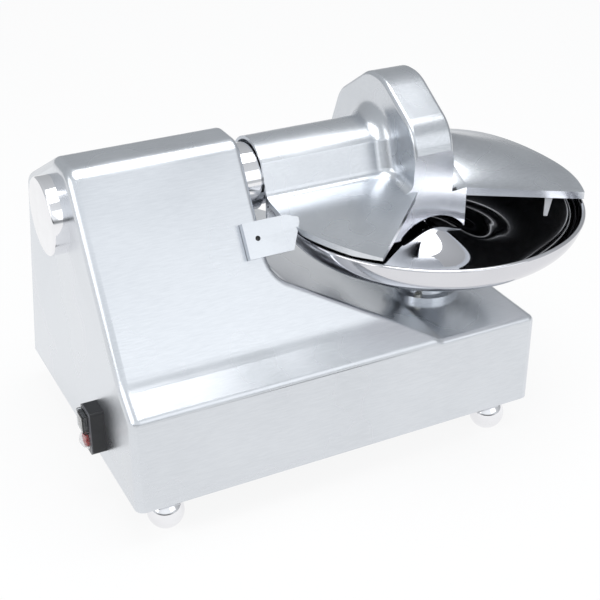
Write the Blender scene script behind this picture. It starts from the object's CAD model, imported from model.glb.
import bpy, bmesh
import numpy as np
from math import atan2, cos, pi, radians, sin
from mathutils import Matrix, Vector


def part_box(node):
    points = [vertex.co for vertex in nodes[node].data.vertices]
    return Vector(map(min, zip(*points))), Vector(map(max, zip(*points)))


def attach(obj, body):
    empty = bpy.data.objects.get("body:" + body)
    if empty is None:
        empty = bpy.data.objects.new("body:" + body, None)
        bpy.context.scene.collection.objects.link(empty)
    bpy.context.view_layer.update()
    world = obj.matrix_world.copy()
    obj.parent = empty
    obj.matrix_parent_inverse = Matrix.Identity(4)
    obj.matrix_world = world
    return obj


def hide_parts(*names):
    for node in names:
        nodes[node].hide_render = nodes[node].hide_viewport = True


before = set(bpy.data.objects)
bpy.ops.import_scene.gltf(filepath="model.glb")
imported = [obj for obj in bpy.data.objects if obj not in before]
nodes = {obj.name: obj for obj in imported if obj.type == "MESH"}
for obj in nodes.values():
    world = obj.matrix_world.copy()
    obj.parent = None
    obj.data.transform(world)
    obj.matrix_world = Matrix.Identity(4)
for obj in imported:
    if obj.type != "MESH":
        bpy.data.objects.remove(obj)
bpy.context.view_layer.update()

# ---------------------------------------------------------------- Housing
# One hollow aluminium casting: motor tower, ramp and rectangular base. It is sand cast,
# ground along its length, polished by hand to a satin finish, and rounded at every edge.


def link(name, mesh, material, body):
    """Puts a finished mesh in the scene as one piece of a body."""
    piece = bpy.data.objects.new(name, mesh)
    bpy.context.scene.collection.objects.link(piece)
    mesh.materials.clear()
    mesh.materials.append(material)
    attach(piece, body)
    return piece


def unit(vectors):
    """Vectors brought to length one."""
    return vectors / np.maximum(np.linalg.norm(vectors, axis=-1, keepdims=True), 1e-12)


sharp_corner = 0.14
most_bend = 0.13


def border_heading(run, one, other):
    """A border's direction at one end: in the smooth surface, or along the corner of two."""
    corner = np.cross(one, other)
    sharp = np.linalg.norm(corner, axis=1, keepdims=True)
    corner = corner / np.maximum(sharp, 1e-12)
    level = unit(one + other)
    in_surface = run - np.sum(run * level, axis=1, keepdims=True) * level
    in_corner = corner * np.sum(run * corner, axis=1, keepdims=True)
    return np.where(sharp < sharp_corner, in_surface, in_corner)


def refined(name, passes=3, least_bend=0.00002):
    """A joined copy of a solid whose curved borders are split onto their true curves.

    Each border between two triangles follows the surface normals at its ends, so that rounds
    come out round and flat faces stay as they are.
    """
    source = nodes[name].data
    places = np.empty(len(source.vertices) * 3)
    source.vertices.foreach_get("co", places)
    ids = np.empty(len(source.loops), np.int32)
    source.loops.foreach_get("vertex_index", ids)
    leans = np.empty(len(source.loops) * 3)
    source.corner_normals.foreach_get("vector", leans)
    places = places.reshape(-1, 3)
    kept, joined = np.unique(np.round(places * 1e6).astype(np.int64), axis=0, return_inverse=True)
    points = kept / 1e6
    tris = joined.reshape(-1)[ids].reshape(-1, 3)
    leans = leans.reshape(-1, 3, 3)
    whole = (tris[:, 0] != tris[:, 1]) & (tris[:, 1] != tris[:, 2]) & (tris[:, 2] != tris[:, 0])
    tris, leans = tris[whole], leans[whole]
    for _ in range(passes):
        ahead, leans_ahead = np.roll(tris, -1, axis=1), np.roll(leans, -1, axis=1)
        forward = (tris < ahead)[..., None]
        low, high = np.minimum(tris, ahead).reshape(-1), np.maximum(tris, ahead).reshape(-1)
        keys, first, border, sides = np.unique(
            low.astype(np.int64) * len(points) + high,
            return_index=True, return_inverse=True, return_counts=True,
        )
        border = border.reshape(-1)
        order = np.argsort(border, kind="stable")
        starts = np.concatenate([[0], np.cumsum(sides)[:-1]])
        second = order[starts + np.where(sides > 1, 1, 0)]
        at_low = np.where(forward, leans, leans_ahead).reshape(-1, 3)
        at_high = np.where(forward, leans_ahead, leans).reshape(-1, 3)
        start, end = points[low[first]], points[high[first]]
        run = end - start
        leave = border_heading(run, at_low[first], at_low[second])
        arrive = border_heading(run, at_high[first], at_high[second])
        bend = (leave - arrive) / 8
        size = np.linalg.norm(bend, axis=1)
        split = (size > least_bend) & (size < most_bend * np.linalg.norm(run, axis=1))
        if not split.any():
            break
        fresh_id = np.where(split, len(points) + np.cumsum(split) - 1, -1)
        points = np.concatenate([points, ((start + end) / 2 + bend)[split]])
        heading = unit(1.5 * run - (leave + arrive) / 4)[border].reshape(-1, 3, 3)
        middle_lean = unit(leans + leans_ahead)
        middle_lean = unit(middle_lean - np.sum(middle_lean * heading, axis=2, keepdims=True) * heading)
        mids = fresh_id[border].reshape(-1, 3)
        cut = mids >= 0
        # A triangle is turned so that its split borders come first, then cut up.
        turn = np.zeros(len(tris), int)
        turn[(cut.sum(1) == 1) & cut[:, 1]] = 1
        turn[(cut.sum(1) == 1) & cut[:, 2]] = 2
        turn[(cut.sum(1) == 2) & ~cut[:, 0]] = 1
        turn[(cut.sum(1) == 2) & ~cut[:, 1]] = 2
        pick = (np.arange(3)[None] + turn[:, None]) % 3
        rows = np.arange(len(tris))[:, None]
        six = np.concatenate([tris[rows, pick], mids[rows, pick]], axis=1)
        six_leans = np.concatenate([leans[rows, pick], middle_lean[rows, pick]], axis=1)
        pieces = {
            0: [(0, 1, 2)], 1: [(0, 3, 2), (3, 1, 2)], 2: [(3, 1, 4), (0, 3, 4), (0, 4, 2)],
            3: [(0, 3, 5), (3, 1, 4), (5, 4, 2), (3, 4, 5)],
        }
        chosen = [(cut.sum(1) == count, corners) for count in pieces for corners in pieces[count]]
        tris = np.concatenate([six[rule][:, corners] for rule, corners in chosen])
        leans = np.concatenate([six_leans[rule][:, corners] for rule, corners in chosen])
    mesh = bpy.data.meshes.new(name + "_refined")
    mesh.from_pydata(points.tolist(), [], tris.tolist())
    mesh.polygons.foreach_set("use_smooth", np.ones(len(tris), bool))
    mesh.normals_split_custom_set(leans.reshape(-1, 3).tolist())
    return mesh


def group(name, inputs, outputs):
    """An empty shader group with named sockets."""
    tree = bpy.data.node_groups.new(name, "ShaderNodeTree")
    for label, kind, value in inputs:
        socket = tree.interface.new_socket(label, in_out="INPUT", socket_type=kind)
        if value is not None:
            socket.default_value = value
    for label, kind in outputs:
        tree.interface.new_socket(label, in_out="OUTPUT", socket_type=kind)
    return tree, tree.nodes.new("NodeGroupInput"), tree.nodes.new("NodeGroupOutput")


def node(tree, kind, **values):
    """A node with its settings, and with its inputs set by name."""
    made = tree.nodes.new(kind)
    for key, value in values.items():
        if hasattr(made, key):
            setattr(made, key, value)
        else:
            made.inputs[key.replace("_", " ")].default_value = value
    return made


# Grain: fine scratches along one direction, over the soft unevenness of hand polishing.
grain, grain_in, grain_out = group(
    "satin_grain",
    [("Scratch Size", "NodeSocketFloat", 900.0), ("Stretch", "NodeSocketFloat", 0.04),
     ("Patch Size", "NodeSocketFloat", 14.0), ("Depth", "NodeSocketFloat", 0.2)],
    [("Shade", "NodeSocketFloat"), ("Patch", "NodeSocketFloat"), ("Normal", "NodeSocketVector")],
)
place = node(grain, "ShaderNodeTexCoord")
squeeze = node(grain, "ShaderNodeCombineXYZ")
squeeze.inputs[1].default_value = 1.0
squeeze.inputs[2].default_value = 1.0
along = node(grain, "ShaderNodeVectorMath", operation="MULTIPLY")
scratch = node(grain, "ShaderNodeTexNoise", Detail=3.0, Roughness=0.6)
patch = node(grain, "ShaderNodeTexNoise", Detail=2.0, Roughness=0.5)
heights = node(grain, "ShaderNodeMath", operation="MULTIPLY_ADD")
heights.inputs[1].default_value = 6.0
relief = node(grain, "ShaderNodeBump", Distance=0.0004)
join = grain.links.new
join(grain_in.outputs["Stretch"], squeeze.inputs[0])
join(place.outputs["Object"], along.inputs[0])
join(squeeze.outputs[0], along.inputs[1])
join(along.outputs[0], scratch.inputs["Vector"])
join(grain_in.outputs["Scratch Size"], scratch.inputs["Scale"])
join(place.outputs["Object"], patch.inputs["Vector"])
join(grain_in.outputs["Patch Size"], patch.inputs["Scale"])
join(patch.outputs["Fac"], heights.inputs[0])
join(scratch.outputs["Fac"], heights.inputs[2])
join(heights.outputs[0], relief.inputs["Height"])
join(grain_in.outputs["Depth"], relief.inputs["Strength"])
join(scratch.outputs["Fac"], grain_out.inputs["Shade"])
join(patch.outputs["Fac"], grain_out.inputs["Patch"])
join(relief.outputs["Normal"], grain_out.inputs["Normal"])


def ramp(tree, source, low, high, start=0.0, end=1.0):
    """Spreads a value between two ends, as a number or as a colour."""
    colours = isinstance(low, tuple)
    if colours:
        made = node(tree, "ShaderNodeValToRGB")
        made.color_ramp.elements[0].position, made.color_ramp.elements[1].position = start, end
        made.color_ramp.elements[0].color = (*low, 1)
        made.color_ramp.elements[1].color = (*high, 1)
        tree.links.new(source, made.inputs[0])
        return made.outputs[0]
    made = node(tree, "ShaderNodeMapRange")
    made.inputs["From Min"].default_value, made.inputs["From Max"].default_value = start, end
    made.inputs["To Min"].default_value, made.inputs["To Max"].default_value = low, high
    tree.links.new(source, made.inputs["Value"])
    return made.outputs["Result"]


def metal(name, dark, light, rough, grain_values, wear=0.0):
    """Bare metal: two shades from the grain, roughness between two ends, brighter on worn edges."""
    material = bpy.data.materials.new(name)
    material.use_nodes = True
    tree = material.node_tree
    surface = tree.nodes["Principled BSDF"]
    surface.inputs["Metallic"].default_value = 1.0
    texture = node(tree, "ShaderNodeGroup", node_tree=grain)
    for key, value in grain_values.items():
        texture.inputs[key].default_value = value
    mixed = node(tree, "ShaderNodeMath", operation="MULTIPLY_ADD")
    mixed.inputs[1].default_value = 0.45
    tree.links.new(texture.outputs["Shade"], mixed.inputs[0])
    share = node(tree, "ShaderNodeMath", operation="MULTIPLY")
    share.inputs[1].default_value = 0.55
    tree.links.new(texture.outputs["Patch"], share.inputs[0])
    tree.links.new(share.outputs[0], mixed.inputs[2])
    colour = ramp(tree, mixed.outputs[0], dark, light, 0.35, 0.65)
    if wear:
        rubbed = node(tree, "ShaderNodeGroup", node_tree=edge_wear)
        rubbed.inputs["Amount"].default_value = wear
        blend = node(tree, "ShaderNodeMix", data_type="RGBA")
        tree.links.new(rubbed.outputs["Mask"], blend.inputs["Factor"])
        tree.links.new(colour, blend.inputs["A"])
        blend.inputs["B"].default_value = (*[min(1.0, part * 1.12) for part in light], 1)
        colour = blend.outputs["Result"]
    tree.links.new(colour, surface.inputs["Base Color"])
    tree.links.new(ramp(tree, texture.outputs["Patch"], *rough, 0.35, 0.65), surface.inputs["Roughness"])
    tree.links.new(texture.outputs["Normal"], surface.inputs["Normal"])
    return material


# Edge wear: handling keeps the outward edges brighter than the faces between them.
edge_wear, wear_in, wear_out = group(
    "edge_wear", [("Amount", "NodeSocketFloat", 0.5)], [("Mask", "NodeSocketFloat")]
)
shape = node(edge_wear, "ShaderNodeNewGeometry")
edge = node(edge_wear, "ShaderNodeMapRange")
edge.inputs["From Min"].default_value, edge.inputs["From Max"].default_value = 0.5, 0.62
rub = node(edge_wear, "ShaderNodeMath", operation="MULTIPLY")
edge_wear.links.new(shape.outputs["Pointiness"], edge.inputs["Value"])
edge_wear.links.new(edge.outputs["Result"], rub.inputs[0])
edge_wear.links.new(wear_in.outputs["Amount"], rub.inputs[1])
edge_wear.links.new(rub.outputs[0], wear_out.inputs["Mask"])

satin_cast = metal(
    "satin_cast_aluminium", (0.62, 0.645, 0.68), (0.71, 0.735, 0.77), (0.24, 0.33),
    {"Scratch Size": 500.0, "Stretch": 0.12, "Patch Size": 7.0, "Depth": 0.07}, wear=0.6,
)
housing = link("housing_casting", refined("housing"), satin_cast, "frame")
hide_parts("housing")

# ---------------------------------------------------------------- Feet
# Four solid steel balls, turned and mirror polished, each on a stud screwed up into a boss of
# the housing. A small turned flat lets each stand firm on the table.
mirror_steel = metal(
    "mirror_polished_steel", (0.83, 0.83, 0.85), (0.90, 0.90, 0.92), (0.03, 0.08),
    {"Scratch Size": 1500.0, "Stretch": 1.0, "Patch Size": 30.0, "Depth": 0.004},
)
foot_r = 0.0237
foot_flat = 0.0007
foot_neck_r = 0.013
foot_stud_r = 0.005
foot_steps = 40
foot_corners = ("front_left", "front_right", "rear_left", "rear_right")


def lathe(points, centre, axis="Z", steps=128):
    """A closed turned piece: (radius, height) points from the axis round to the axis again."""
    mesh = bpy.data.meshes.new("turned")
    work = bmesh.new()
    rings = []
    for radius, height in points:
        if radius < 1e-7:
            rings.append([work.verts.new((0, 0, height))])
            continue
        rings.append([
            work.verts.new((radius * cos(2 * pi * k / steps), radius * sin(2 * pi * k / steps), height))
            for k in range(steps)
        ])
    for lower, upper in zip(rings, rings[1:]):
        for k in range(steps):
            after = (k + 1) % steps
            corners = [lower[k % len(lower)], lower[after % len(lower)],
                       upper[after % len(upper)], upper[k % len(upper)]]
            corners = list(dict.fromkeys(corners))
            if len(corners) > 2:
                work.faces.new(corners)
    bmesh.ops.recalc_face_normals(work, faces=work.faces)
    turn = Matrix.Rotation(radians(90), 4, "Y") if axis == "X" else Matrix.Identity(4)
    work.transform(Matrix.Translation(centre) @ turn)
    work.to_mesh(mesh)
    work.free()
    for face in mesh.polygons:
        face.use_smooth = True
    mesh.set_sharp_from_angle(angle=radians(40))
    return mesh


def middle(name):
    """The middle of a solid's box."""
    low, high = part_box(name)
    return (Vector(low) + Vector(high)) / 2


for corner in foot_corners:
    name = "foot_" + corner
    centre, top = middle(name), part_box("bottom_plate")[0][2]
    stud_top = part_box(name)[1][2]
    profile = [(0.0, 0.0)]
    start = atan2(-(foot_r - foot_flat), (foot_r**2 - (foot_r - foot_flat)**2) ** 0.5)
    end = atan2((foot_r**2 - foot_neck_r**2) ** 0.5, foot_neck_r)
    for step in range(foot_steps + 1):
        angle = start + (end - start) * step / foot_steps
        profile.append((foot_r * cos(angle), foot_r - foot_flat + foot_r * sin(angle)))
    profile += [(foot_neck_r, top), (foot_stud_r, top), (foot_stud_r, stud_top), (0.0, stud_top)]
    foot = link(
        name + "_ball", lathe(profile, (centre.x, centre.y, 0.0)), mirror_steel, "frame"
    )
    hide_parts(name)

# ---------------------------------------------------------------- Bottom plate
# A folded steel sheet that closes the base from below, with a brushed surface. Four screws
# hold it to the bosses inside the casting.
plate_steel = metal(
    "brushed_sheet_steel", (0.42, 0.43, 0.45), (0.58, 0.59, 0.61), (0.28, 0.42),
    {"Scratch Size": 700.0, "Stretch": 0.02, "Patch Size": 9.0, "Depth": 0.15},
)
zinc = metal(
    "zinc_plated_steel", (0.50, 0.50, 0.47), (0.66, 0.66, 0.62), (0.3, 0.45),
    {"Scratch Size": 900.0, "Stretch": 1.0, "Patch Size": 60.0, "Depth": 0.1},
)


def finish_nodes(material, *names):
    """Gives carried-over solids their material."""
    for name in names:
        for slot in nodes[name].material_slots:
            slot.material = material


finish_nodes(plate_steel, "bottom_plate")

# ---------------------------------------------------------------- Motor
# A four-pole motor across the tower: cast shields with ball bearings at both ends of a steel
# core with copper windings, drawn together by four long rods. A fan on the shaft cools it.
core_steel = metal(
    "lacquered_core_steel", (0.20, 0.21, 0.23), (0.34, 0.35, 0.37), (0.35, 0.5),
    {"Scratch Size": 1100.0, "Stretch": 14.0, "Patch Size": 20.0, "Depth": 0.3},
)
shield_cast = metal(
    "raw_cast_aluminium", (0.55, 0.57, 0.60), (0.68, 0.70, 0.73), (0.45, 0.6),
    {"Scratch Size": 420.0, "Stretch": 1.0, "Patch Size": 30.0, "Depth": 0.7},
)
copper = metal(
    "varnished_copper_wire", (0.52, 0.20, 0.09), (0.75, 0.34, 0.17), (0.25, 0.4),
    {"Scratch Size": 700.0, "Stretch": 0.1, "Patch Size": 40.0, "Depth": 0.8},
)
turned_steel = metal(
    "turned_steel", (0.50, 0.51, 0.53), (0.66, 0.67, 0.69), (0.16, 0.28),
    {"Scratch Size": 1200.0, "Stretch": 1.0, "Patch Size": 40.0, "Depth": 0.1},
)


def cad_piece(name, material, body):
    """A carried-over solid with its rounds made smooth, standing for its node."""
    piece = link(name + "_finished", refined(name), material, body)
    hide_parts(name)
    return piece


cad_piece("motor_stator", core_steel, "frame")
cad_piece("stator_windings", copper, "frame")
cad_piece("motor_rear_shield", shield_cast, "frame")
cad_piece("motor_front_shield", shield_cast, "frame")
cad_piece("motor_tie_rods", zinc, "frame")
cad_piece("motor_rotor", core_steel, "knife_drive")
cad_piece("rear_bearing", turned_steel, "frame")
cad_piece("middle_bearing", turned_steel, "frame")

# ---------------------------------------------------------------- Motor end cap
# A turned steel lid in the left wall, mirror polished, with a spigot that centres it in the
# motor's opening. It is pressed in, and its outer edge is rounded.
cap_low, cap_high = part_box("motor_end_cap")
cap_r = (cap_high.z - cap_low.z) / 2
cap_spigot_r = 0.044
cap_spigot = 0.006
cap_depth = cap_high.x - cap_low.x
cap_round = 0.003
cap_face = -0.5 * cap_depth
profile = [(0.0, cap_face)]
for step in range(9):
    angle = radians(90 * step / 8)
    profile.append((
        cap_r - cap_round + cap_round * sin(angle), cap_face + cap_round - cap_round * cos(angle)
    ))
shoulder = 0.5 * cap_depth - cap_spigot
profile += [(cap_r, shoulder), (cap_spigot_r, shoulder), (cap_spigot_r, 0.5 * cap_depth)]
profile += [(0.0, 0.5 * cap_depth)]
end_cap = link(
    "motor_end_cap_turned", lathe(profile, middle("motor_end_cap"), "X", 160), mirror_steel,
    "frame",
)
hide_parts("motor_end_cap")

# ---------------------------------------------------------------- Shaft housing
# A turned steel tube with a flange, screwed to the inside of the tower's wall. Its polished
# ring shows beside the tower, and its nose carries the front bearing and the seal.
cad_piece("shaft_housing", mirror_steel, "frame")
cad_piece("front_bearing", turned_steel, "frame")

# ---------------------------------------------------------------- Seals
# Nitrile rings pressed in beside the front bearing and over the bowl's spindle. They keep
# meat juice out of the bearings.


def moulded(name, dark, light, rough, bump_size, bump):
    """Moulded plastic or rubber with a fine pebbled skin and slight colour drift."""
    material = bpy.data.materials.new(name)
    material.use_nodes = True
    tree = material.node_tree
    surface = tree.nodes["Principled BSDF"]
    texture = node(tree, "ShaderNodeGroup", node_tree=grain)
    texture.inputs["Scratch Size"].default_value = bump_size
    texture.inputs["Stretch"].default_value = 1.0
    texture.inputs["Patch Size"].default_value = 25.0
    texture.inputs["Depth"].default_value = bump
    tree.links.new(ramp(tree, texture.outputs["Patch"], dark, light, 0.3, 0.7), surface.inputs["Base Color"])
    tree.links.new(ramp(tree, texture.outputs["Shade"], *rough, 0.3, 0.7), surface.inputs["Roughness"])
    tree.links.new(texture.outputs["Normal"], surface.inputs["Normal"])
    return material


seal_rubber = moulded("nitrile_rubber", (0.012, 0.012, 0.013), (0.03, 0.03, 0.032), (0.45, 0.6), 900.0, 0.3)
finish_nodes(seal_rubber, "shaft_seal", "spindle_seal")

# ---------------------------------------------------------------- Knife shaft, hub and nut
# A ground steel shaft from the motor's rear bearing to the knives. The hub, the spacer and
# the hexagon nut clamp both knives on its end.
cad_piece("knife_shaft", turned_steel, "knife_drive")
fan_nylon = moulded(
    "glass_filled_nylon", (0.012, 0.012, 0.013), (0.028, 0.028, 0.030), (0.4, 0.55), 700.0, 0.3
)
cad_piece("motor_fan", fan_nylon, "knife_drive")
cad_piece("drive_pulley", shield_cast, "knife_drive")
cad_piece("knife_hub", turned_steel, "knife_drive")
cad_piece("knife_spacer", turned_steel, "knife_drive")
cad_piece("knife_nut", turned_steel, "knife_drive")

# ---------------------------------------------------------------- Knives
# Two sickle knives of hardened stainless steel, half a turn apart, ground and polished along
# their length. Their curved edges sweep through the bowl.
blade_steel = metal(
    "ground_blade_steel", (0.62, 0.63, 0.65), (0.78, 0.79, 0.81), (0.12, 0.22),
    {"Scratch Size": 1400.0, "Stretch": 1.0, "Patch Size": 18.0, "Depth": 0.06},
)
cad_piece("knife_1", blade_steel, "knife_drive")
cad_piece("knife_2", blade_steel, "knife_drive")

# ---------------------------------------------------------------- Belt and worm drive
# A flat reinforced belt turns a large pulley on the worm shaft. The worm shaft runs in two
# bearings of an oil-filled gearbox and drives a bronze wheel.
belt_rubber = moulded("belt_rubber", (0.014, 0.014, 0.014), (0.035, 0.034, 0.033), (0.55, 0.75), 500.0, 0.6)
bronze = metal(
    "cast_bronze", (0.50, 0.31, 0.11), (0.68, 0.46, 0.20), (0.28, 0.42),
    {"Scratch Size": 800.0, "Stretch": 1.0, "Patch Size": 30.0, "Depth": 0.3},
)
grey_iron = metal(
    "grey_cast_iron", (0.18, 0.19, 0.20), (0.30, 0.31, 0.32), (0.5, 0.68),
    {"Scratch Size": 380.0, "Stretch": 1.0, "Patch Size": 22.0, "Depth": 0.9},
)
cad_piece("drive_belt", belt_rubber, "frame")
cad_piece("worm_shaft", turned_steel, "worm_drive")
cad_piece("driven_pulley", shield_cast, "worm_drive")
cad_piece("worm_bearings", turned_steel, "frame")
cad_piece("gearbox_case", grey_iron, "frame")
cad_piece("pillow_block", grey_iron, "frame")
cad_piece("pillow_bearing", turned_steel, "frame")
cad_piece("worm_wheel", bronze, "bowl_drive")

# ---------------------------------------------------------------- Bowl spindle
# A vertical steel spindle in two ball bearings. Its flanged housing stands on the base's top
# and is screwed down from above.
cad_piece("spindle_housing", satin_cast, "frame")
cad_piece("spindle_upper_bearing", turned_steel, "frame")
cad_piece("spindle_lower_bearing", turned_steel, "frame")
cad_piece("bowl_spindle", turned_steel, "bowl_drive")
cad_piece("bowl_carrier", satin_cast, "bowl_drive")
cad_piece("carrier_drive_pins", turned_steel, "bowl_drive")

# ---------------------------------------------------------------- Screws
# Zinc plated socket screws, cold headed with a hexagon recess: four each in the bottom plate,
# the gearbox and the shaft housing's flange, and the spindle housing's own on its circle.
screw_tree = bpy.data.node_groups.new("socket_screws", "GeometryNodeTree")
screw_tree.interface.new_socket("Geometry", in_out="INPUT", socket_type="NodeSocketGeometry")
screw_sizes = {}
for label, size in (("Head Radius", 0.005), ("Head Height", 0.004), ("Shank Radius", 0.003),
                    ("Shank Length", 0.020), ("Socket Radius", 0.0028), ("Socket Depth", 0.0015)):
    screw_sizes[label] = screw_tree.interface.new_socket(label, in_out="INPUT", socket_type="NodeSocketFloat")
    screw_sizes[label].default_value = size
screw_sizes["Heading"] = screw_tree.interface.new_socket(
    "Heading", in_out="INPUT", socket_type="NodeSocketVector")
screw_sizes["Material"] = screw_tree.interface.new_socket(
    "Material", in_out="INPUT", socket_type="NodeSocketMaterial")
screw_tree.interface.new_socket("Geometry", in_out="OUTPUT", socket_type="NodeSocketGeometry")
screw_in, screw_out = node(screw_tree, "NodeGroupInput"), node(screw_tree, "NodeGroupOutput")
fasten = screw_tree.links.new


def screw_part(sides, radius, depth, low, high=None):
    """A cylinder of the screw from one height to another, along its axis."""
    made = node(screw_tree, "GeometryNodeMeshCylinder", Vertices=sides)
    fasten(radius, made.inputs["Radius"])
    fasten(depth, made.inputs["Depth"])
    half = node(screw_tree, "ShaderNodeMath", operation="MULTIPLY_ADD")
    half.inputs[1].default_value = 0.5
    fasten(depth, half.inputs[0])
    if high is None:
        half.inputs[2].default_value = low
    else:
        fasten(high, half.inputs[2])
    height = node(screw_tree, "ShaderNodeCombineXYZ")
    fasten(half.outputs[0], height.inputs[2])
    moved = node(screw_tree, "GeometryNodeTransform")
    fasten(made.outputs["Mesh"], moved.inputs["Geometry"])
    fasten(height.outputs[0], moved.inputs["Translation"])
    return moved.outputs["Geometry"]


head = screw_part(32, screw_in.outputs["Head Radius"], screw_in.outputs["Head Height"], 0.0)
socket = screw_part(6, screw_in.outputs["Socket Radius"], screw_in.outputs["Socket Depth"], -0.0002)
shank = screw_part(
    20, screw_in.outputs["Shank Radius"], screw_in.outputs["Shank Length"], 0.0,
    screw_in.outputs["Head Height"],
)
recess = node(screw_tree, "GeometryNodeMeshBoolean", operation="DIFFERENCE")
whole = node(screw_tree, "GeometryNodeJoinGeometry")
spread = node(screw_tree, "GeometryNodeInstanceOnPoints")
real = node(screw_tree, "GeometryNodeRealizeInstances")
coat = node(screw_tree, "GeometryNodeSetMaterial")
fasten(head, recess.inputs["Mesh 1"])
fasten(socket, recess.inputs["Mesh 2"])
fasten(recess.outputs["Mesh"], whole.inputs["Geometry"])
fasten(shank, whole.inputs["Geometry"])
fasten(screw_in.outputs["Geometry"], spread.inputs["Points"])
fasten(whole.outputs["Geometry"], spread.inputs["Instance"])
fasten(screw_in.outputs["Heading"], spread.inputs["Rotation"])
fasten(spread.outputs["Instances"], real.inputs["Geometry"])
fasten(real.outputs["Geometry"], coat.inputs["Geometry"])
fasten(screw_in.outputs["Material"], coat.inputs["Material"])
fasten(coat.outputs["Geometry"], screw_out.inputs["Geometry"])


def screw_places(name, axis, heads_low):
    """The middle of each screw's free head face, and the length along its axis."""
    work = bmesh.new()
    work.from_mesh(nodes[name].data)
    bmesh.ops.remove_doubles(work, verts=work.verts, dist=0.00001)
    left, spots, length = set(work.verts), [], 0.0
    while left:
        reached = [min(left, key=lambda vert: tuple(vert.co))]
        left.discard(reached[0])
        for vert in reached:
            near = {side.other_vert(vert) for side in vert.link_edges} & left
            left -= near
            reached += sorted(near, key=lambda other: tuple(other.co))
        low = [min(vert.co[k] for vert in reached) for k in range(3)]
        high = [max(vert.co[k] for vert in reached) for k in range(3)]
        spot = [(low[k] + high[k]) / 2 for k in range(3)]
        spot[axis] = low[axis] if heads_low else high[axis]
        spots.append(tuple(spot))
        length = high[axis] - low[axis]
    work.free()
    return sorted(spots), length


up, down, rightwards = (0.0, 0.0, 0.0), (pi, 0.0, 0.0), (0.0, pi / 2, 0.0)
for name, axis, heads_low, heading, head_height in (
    ("bottom_plate_screws", 2, True, up, 0.0025),
    ("gearbox_screws", 2, True, up, 0.004),
    ("spindle_housing_screws", 2, False, down, 0.004),
    ("shaft_housing_screws", 0, True, rightwards, 0.004),
):
    spots, length = screw_places(name, axis, heads_low)
    points = bpy.data.meshes.new(name + "_places")
    points.from_pydata(spots, [], [])
    row = bpy.data.objects.new(name + "_row", points)
    bpy.context.scene.collection.objects.link(row)
    maker = row.modifiers.new("screws", "NODES")
    maker.node_group = screw_tree
    maker[screw_sizes["Head Height"].identifier] = head_height
    maker[screw_sizes["Shank Length"].identifier] = length - head_height
    maker[screw_sizes["Heading"].identifier] = heading
    maker[screw_sizes["Material"].identifier] = zinc
    bpy.context.view_layer.update()
    made = bpy.data.meshes.new_from_object(row.evaluated_get(bpy.context.evaluated_depsgraph_get()))
    bpy.data.objects.remove(row)
    made.name = name + "_turned"
    screws = link(name + "_made", made, zinc, "frame")
    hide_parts(name)

# ---------------------------------------------------------------- Bowl
# One stainless steel sheet spun over a form: a deep ring-shaped trough round a bell in the
# middle, with a rolled bead at its rim. It is buffed to a mirror inside and out.
bowl_rim_r = 0.200
bowl_floor_r = 0.105
bowl_floor_z = 0.256
bell_top_z = 0.286
bell_sharpness = 1.4
bowl_wall = 0.003
bead_r = 0.003
bead_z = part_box("bowl")[1].z - bead_r
inner = []
for step in range(49):
    turn = 0.5 * pi * step / 48
    inner.append((
        bowl_rim_r + (bowl_floor_r - bowl_rim_r) * (1 - cos(turn)),
        bead_z + (bowl_floor_z - bead_z) * sin(turn),
    ))
for step in range(1, 65):
    share = step / 64
    rise = (0.5 - 0.5 * cos(pi * share)) ** bell_sharpness
    inner.append((bowl_floor_r * (1 - share), bowl_floor_z + (bell_top_z - bowl_floor_z) * rise))
outer = []
for number, (radius, height) in enumerate(inner):
    before, after = inner[max(number - 1, 0)], inner[min(number + 1, len(inner) - 1)]
    run, rise = after[0] - before[0], after[1] - before[1]
    length = (run * run + rise * rise) ** 0.5
    outer.append((max(radius - rise / length * bowl_wall, 0.0), height + run / length * bowl_wall))
outer[-1] = (0.0, inner[-1][1] - bowl_wall)
bead = []
bead_at = bowl_rim_r + bowl_wall / 2
for step in range(1, 24):
    angle = radians(210 - 240 * step / 24)
    bead.append((bead_at + bead_r * cos(angle), bead_z + bead_r * sin(angle)))
profile = list(reversed(outer)) + list(reversed(bead)) + inner
bowl_centre = middle("bowl")
bowl_steel = metal(
    "spun_mirror_steel", (0.66, 0.66, 0.69), (0.72, 0.72, 0.75), (0.03, 0.06),
    {"Scratch Size": 1500.0, "Stretch": 1.0, "Patch Size": 12.0, "Depth": 0.004},
)
bowl = link(
    "bowl_spun", lathe(profile, (bowl_centre.x, bowl_centre.y, 0.0), steps=220), bowl_steel,
    "bowl_drive",
)
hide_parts("bowl")

# ---------------------------------------------------------------- Cover
# The hinged guard over the knives, one thin aluminium casting: a sleeve over the shaft
# housing, a high hump over the knives and a fan-shaped lid over the bowl's back half.
cover_cast = metal(
    "satin_cast_cover", (0.58, 0.605, 0.64), (0.68, 0.705, 0.74), (0.22, 0.32),
    {"Scratch Size": 480.0, "Stretch": 0.3, "Patch Size": 9.0, "Depth": 0.09}, wear=0.6,
)
cover_inside = metal(
    "as_cast_inside", (0.045, 0.047, 0.052), (0.085, 0.088, 0.095), (0.5, 0.65),
    {"Scratch Size": 350.0, "Stretch": 1.0, "Patch Size": 18.0, "Depth": 0.6},
)
cover = cad_piece("cover", cover_cast, "guard")
cover.data.materials.append(cover_inside)
rim_reach = 0.004
drum_shift = 0.006
drum_half_width = 0.034
drum_outer_r = 0.125
drum_inner_r = 0.1215
drum_low, drum_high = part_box("knife_nut")
shaft_at = (drum_low + drum_high) / 2
rim_at, rim_top = middle("bowl"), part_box("bowl")[1].z
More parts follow.
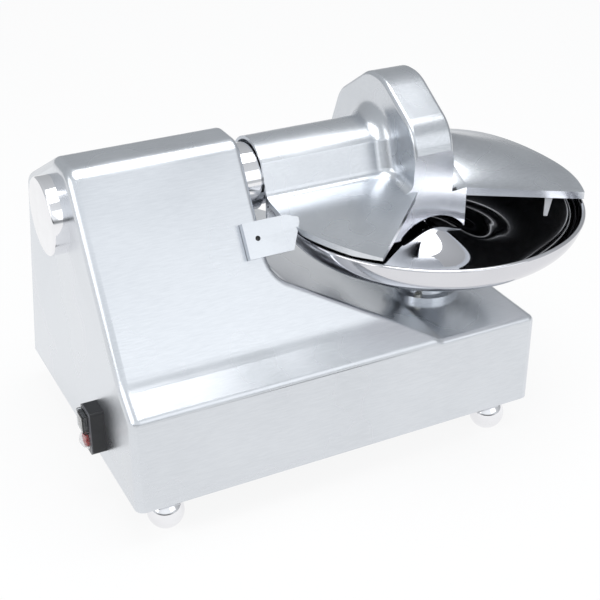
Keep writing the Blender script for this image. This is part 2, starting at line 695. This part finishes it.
for face in cover.data.polygons:
    place = face.center
    in_drum = Vector((0, place.y - shaft_at.y, place.z - shaft_at.z))
    faces_in = in_drum.dot(face.normal) < 0 and abs(face.normal.x) < 0.5
    in_bowl = Vector((place.x - rim_at.x, place.y - rim_at.y)).length < bowl_rim_r + rim_reach
    under = face.normal.z < -0.3 and in_bowl
    knives = abs(place.x - shaft_at.x + drum_shift) < drum_half_width and in_drum.length < drum_outer_r
    if under or (knives and faces_in and in_drum.length < drum_inner_r and place.z > rim_top):
        face.material_index = 1
comb_acetal = moulded("grey_acetal", (0.50, 0.51, 0.53), (0.62, 0.63, 0.65), (0.3, 0.45), 800.0, 0.1)
cad_piece("bowl_comb", comb_acetal, "guard")
cad_piece("cover_hinge_pin", turned_steel, "frame")
ferrite = moulded("black_ferrite", (0.010, 0.010, 0.011), (0.02, 0.02, 0.021), (0.5, 0.65), 700.0, 0.4)
cad_piece("interlock_magnet", ferrite, "guard")

# ---------------------------------------------------------------- Switch
# A black moulded switch box with a grey bezel on the left wall. A square start button sits
# over a round red stop button, each under a clear splash-proof boot.
black_plastic = moulded(
    "black_moulded_plastic", (0.010, 0.010, 0.011), (0.022, 0.022, 0.024), (0.28, 0.42), 900.0, 0.15
)
red_plastic = moulded(
    "red_moulded_plastic", (0.42, 0.012, 0.010), (0.55, 0.020, 0.015), (0.22, 0.34), 900.0, 0.08
)
bezel_plastic = moulded("grey_bezel_plastic", (0.10, 0.10, 0.11), (0.15, 0.15, 0.16), (0.3, 0.45), 900.0, 0.1)
grey_plastic = moulded(
    "grey_moulded_plastic", (0.10, 0.10, 0.11), (0.16, 0.16, 0.17), (0.35, 0.5), 900.0, 0.2
)
boot_clear = bpy.data.materials.new("clear_silicone_boot")
boot_clear.use_nodes = True
boot_surface = boot_clear.node_tree.nodes["Principled BSDF"]
boot_surface.inputs["Base Color"].default_value = (0.93, 0.94, 0.95, 1)
boot_surface.inputs["Transmission Weight"].default_value = 1.0
boot_surface.inputs["Roughness"].default_value = 0.12
boot_surface.inputs["IOR"].default_value = 1.41
cad_piece("switch_box", black_plastic, "frame")
cad_piece("switch_bezel", bezel_plastic, "frame")
cad_piece("start_button", black_plastic, "start")
cad_piece("stop_button", red_plastic, "stop")
cad_piece("button_boots", boot_clear, "frame")
cad_piece("switch_contact_block", black_plastic, "frame")
cad_piece("interlock_sensor", black_plastic, "frame")

# ---------------------------------------------------------------- Electrical pieces in the base
# A wound capacitor in its moulded can, a contactor in a moulded case and the gland for the
# mains lead, which is a nylon fitting with a clamping nut.
cad_piece("start_capacitor", grey_plastic, "frame")
cad_piece("motor_contactor", grey_plastic, "frame")
cad_piece("cable_gland", black_plastic, "frame")

# ---------------------------------------------------------------- Studio
# A plain pale floor, three soft lamps and a bright surround, which polished steel mirrors.
floor_mesh = bpy.data.meshes.new("floor")
reach = 6.0
floor_mesh.from_pydata(
    [(-reach, -reach, 0), (reach, -reach, 0), (reach, reach, 0), (-reach, reach, 0)], [], [(0, 1, 2, 3)]
)
floor = bpy.data.objects.new("floor", floor_mesh)
bpy.context.scene.collection.objects.link(floor)
floor_paint = bpy.data.materials.new("pale_floor")
floor_paint.use_nodes = True
tree = floor_paint.node_tree
paint = tree.nodes["Principled BSDF"]
paint.inputs["Base Color"].default_value = (0.9, 0.9, 0.9, 1)
paint.inputs["Roughness"].default_value = 0.9
# The camera sees the floor almost as white as the background, with a soft shadow left on it.
glow = node(tree, "ShaderNodeEmission")
glow.inputs["Color"].default_value = (1, 1, 1, 1)
glow.inputs["Strength"].default_value = 1.0
seen = node(tree, "ShaderNodeLightPath")
share = node(tree, "ShaderNodeMath", operation="MULTIPLY")
share.inputs[1].default_value = 0.88
blend = node(tree, "ShaderNodeMixShader")
either = node(tree, "ShaderNodeMath", operation="MAXIMUM")
tree.links.new(seen.outputs["Is Camera Ray"], either.inputs[0])
tree.links.new(seen.outputs["Is Glossy Ray"], either.inputs[1])
tree.links.new(either.outputs[0], share.inputs[0])
tree.links.new(share.outputs[0], blend.inputs[0])
tree.links.new(paint.outputs[0], blend.inputs[1])
tree.links.new(glow.outputs[0], blend.inputs[2])
tree.links.new(blend.outputs[0], tree.nodes["Material Output"].inputs["Surface"])
floor_mesh.materials.append(floor_paint)

world = bpy.data.worlds.new("studio")
bpy.context.scene.world = world
world.use_nodes = True
tree = world.node_tree
light_path = node(tree, "ShaderNodeLightPath")
heading = node(tree, "ShaderNodeTexCoord")
parts = node(tree, "ShaderNodeSeparateXYZ")
tree.links.new(heading.outputs["Generated"], parts.inputs[0])
# The room is brighter in front than behind. A dark gap low in front gives polished steel
# its black bands.
depth = ramp(tree, parts.outputs["Y"], 1.12, 0.62, -1.0, 1.0)
across = ramp(tree, parts.outputs["X"], 1.0, 0.62, 0.0, 1.0)
band = node(tree, "ShaderNodeValToRGB")
tree.links.new(ramp(tree, parts.outputs["Z"], 0.0, 1.0, -0.3, 0.7), band.inputs[0])
shades = [(0.26, 0.55), (0.31, 0.10), (0.38, 0.14), (0.50, 0.95), (0.8, 1.0)]
band.color_ramp.elements[0].position, band.color_ramp.elements[0].color = 0.0, (0.7, 0.7, 0.7, 1)
band.color_ramp.elements[1].position, band.color_ramp.elements[1].color = 1.0, (1, 1, 1, 1)
for spot, shade in shades:
    band.color_ramp.elements.new(spot).color = (shade, shade, shade, 1)
level = node(tree, "ShaderNodeMath", operation="MULTIPLY")
tree.links.new(depth, level.inputs[0])
tree.links.new(across, level.inputs[1])
facing = node(tree, "ShaderNodeVectorMath", operation="DOT_PRODUCT")
tree.links.new(heading.outputs["Generated"], facing.inputs[0])
facing.inputs[1].default_value = (-0.45, -0.89, 0.0)
gap = ramp(tree, facing.outputs["Value"], 0.0, 1.0, 0.55, 0.9)
dimmed = node(tree, "ShaderNodeMix", data_type="FLOAT")
tree.links.new(gap, dimmed.inputs["Factor"])
dimmed.inputs["A"].default_value = 0.85
tree.links.new(band.outputs[0], dimmed.inputs["B"])
shade = node(tree, "ShaderNodeMath", operation="MULTIPLY")
tree.links.new(level.outputs[0], shade.inputs[0])
tree.links.new(dimmed.outputs["Result"], shade.inputs[1])
soft = tree.nodes["Background"]
soft.inputs["Color"].default_value = (0.94, 0.97, 1.0, 1)
tree.links.new(shade.outputs[0], soft.inputs["Strength"])
white = node(tree, "ShaderNodeBackground")
white.inputs["Color"].default_value = (1, 1, 1, 1)
white.inputs["Strength"].default_value = 1.0
choose = node(tree, "ShaderNodeMixShader")
tree.links.new(light_path.outputs["Is Camera Ray"], choose.inputs[0])
tree.links.new(soft.outputs[0], choose.inputs[1])
tree.links.new(white.outputs[0], choose.inputs[2])
tree.links.new(choose.outputs[0], tree.nodes["World Output"].inputs["Surface"])


def lamp(name, at, toward, size, power, colour=(1, 1, 1)):
    """A soft rectangular lamp that points at a place."""
    light = bpy.data.lights.new(name, "AREA")
    light.shape = "RECTANGLE"
    light.size, light.size_y = size
    light.energy = power
    light.color = colour
    made = bpy.data.objects.new(name, light)
    bpy.context.scene.collection.objects.link(made)
    made.location = at
    made.rotation_euler = (Vector(toward) - Vector(at)).to_track_quat("-Z", "Y").to_euler()


lamp("top_softbox", (0.2, -0.3, 2.4), (0, 0, 0.2), (1.8, 1.4), 26)
lamp("left_softbox", (-2.4, -0.4, 1.2), (0, 0, 0.25), (1.4, 1.4), 10)
lamp("front_softbox", (0.9, -2.3, 1.3), (0, 0, 0.25), (1.8, 1.4), 5)

# ---------------------------------------------------------------- Camera
# A long lens from the left of the machine's front, looking down at it.
camera = bpy.data.cameras.new("camera")
camera.sensor_width = 36.0
camera.sensor_fit = "HORIZONTAL"
camera.lens = 75.12
viewer = bpy.data.objects.new("camera", camera)
bpy.context.scene.collection.objects.link(viewer)
viewer.location = (-0.6876, -1.3291, 1.0106)
yaw, pitch = radians(63.14), radians(29.26)
ahead = Vector((cos(yaw) * cos(pitch), sin(yaw) * cos(pitch), -sin(pitch)))
viewer.rotation_euler = ahead.to_track_quat("-Z", "Y").to_euler()
bpy.context.scene.camera = viewer
bpy.context.scene.view_settings.view_transform = "Standard"
